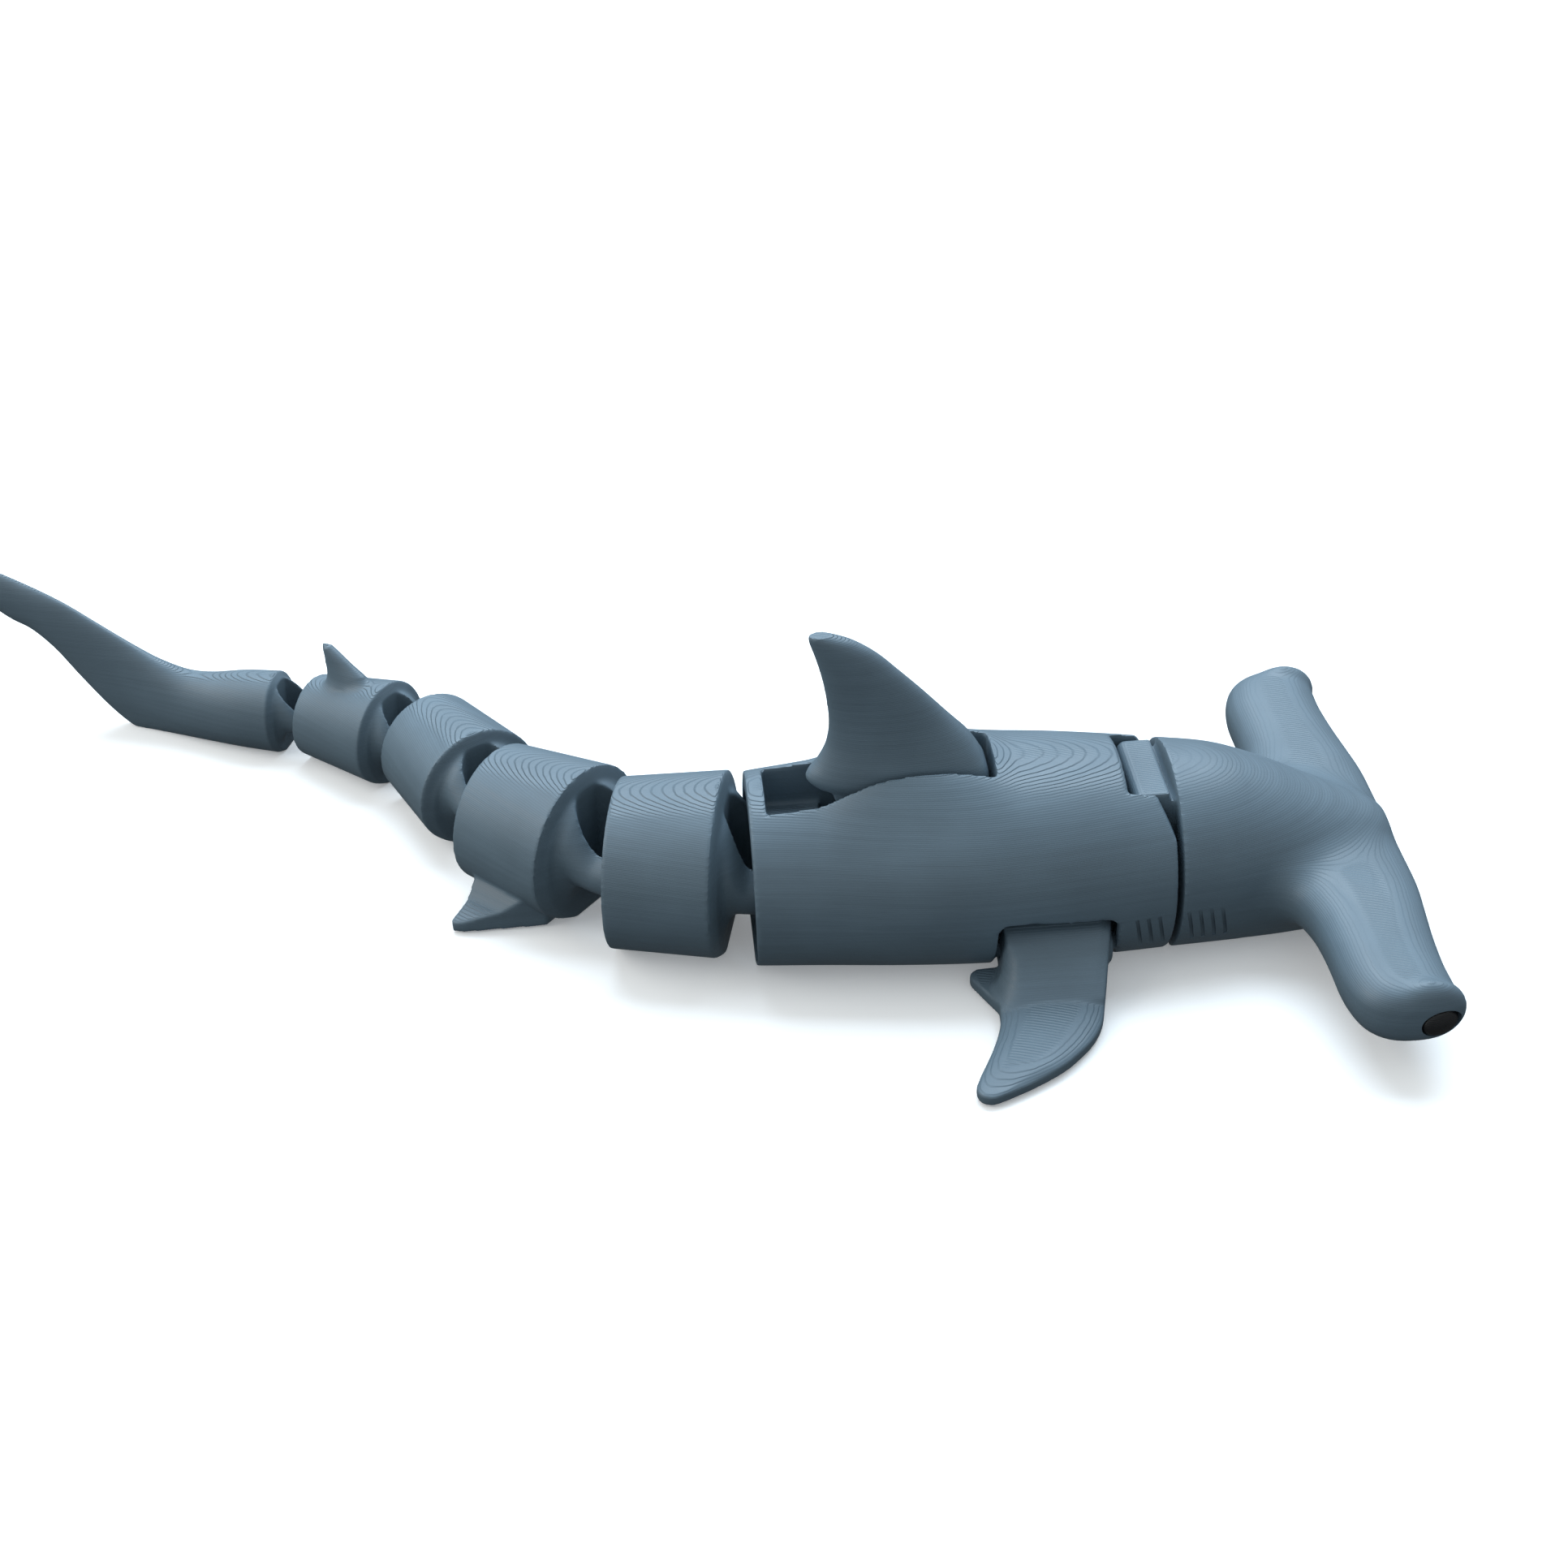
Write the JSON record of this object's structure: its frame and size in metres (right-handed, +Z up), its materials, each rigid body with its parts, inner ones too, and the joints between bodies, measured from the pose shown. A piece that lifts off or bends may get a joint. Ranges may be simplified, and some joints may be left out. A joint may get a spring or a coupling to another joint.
{
  "type": "articulated hammerhead shark toy",
  "caption": "Printed-in-place hammerhead shark toy with a flat belly, hinged tail segments, a nodding head, a folding back fin and flapping side fins.",
  "frame": {"origin": "on the flat belly of the torso, on its middle line, about halfway along it", "axes": "+X towards the head, +Y towards the shark's left side, +Z up through the back fin"},
  "size_m": [0.2151, 0.1169, 0.0499],
  "materials": {
    "body": "matte, with fine layer lines",
    "eye": "matte black"
  },
  "bodies": {
    "torso": {"torso": "body"},
    "head": {"head": "body", "eye_left": "eye", "eye_right": "eye"},
    "dorsal_fin": {"dorsal_fin": "body"},
    "pectoral_fin_left": {"pectoral_fin_left": "body"},
    "pectoral_fin_right": {"pectoral_fin_right": "body"},
    "segment_1": {"segment_1": "body"},
    "segment_2": {"segment_2": "body"},
    "segment_3": {"segment_3": "body"},
    "segment_4": {"segment_4": "body"},
    "tail": {"tail": "body"}
  },
  "joints": [
    {"name": "head_pitch", "type": "hinge", "parent": "torso", "child": "head", "pos_m": [0.0254, 0, 0.0203], "axis": [0, -1, 0], "range_deg": [0, 14]},
    {"name": "dorsal_fold", "type": "hinge", "parent": "torso", "child": "dorsal_fin", "pos_m": [-0.0015, 0, 0.022], "axis": [0, -1, 0], "range_deg": [0, 20]},
    {"name": "pectoral_left_flap", "type": "hinge", "parent": "torso", "child": "pectoral_fin_left", "pos_m": [0.0114, 0.0116, 0.0041], "axis": [1, 0, 0], "range_deg": [0, 30]},
    {"name": "pectoral_right_flap", "type": "hinge", "parent": "torso", "child": "pectoral_fin_right", "pos_m": [0.0114, -0.0116, 0.0041], "axis": [-1, 0, 0], "range_deg": [0, 30]},
    {"name": "tail_1", "type": "hinge", "parent": "torso", "child": "segment_1", "pos_m": [-0.02633, 0, 0], "axis": [0, 0, 1], "range_deg": [0, 22]},
    {"name": "tail_2", "type": "hinge", "parent": "segment_1", "child": "segment_2", "pos_m": [-0.04513, 0.00427, 0], "axis": [0, 0, 1], "range_deg": [0, 55.5]},
    {"name": "tail_3", "type": "hinge", "parent": "segment_2", "child": "segment_3", "pos_m": [-0.06337, 0.01985, 0], "axis": [0, 0, 1], "range_deg": [-8, 50]},
    {"name": "tail_4", "type": "hinge", "parent": "segment_3", "child": "segment_4", "pos_m": [-0.07552, 0.04133, 0], "axis": [0, 0, 1], "range_deg": [-54, 6]},
    {"name": "tail_5", "type": "hinge", "parent": "segment_4", "child": "tail", "pos_m": [-0.09371, 0.05479, 0], "axis": [0, 0, 1], "range_deg": [-47, 13]}
  ]
}
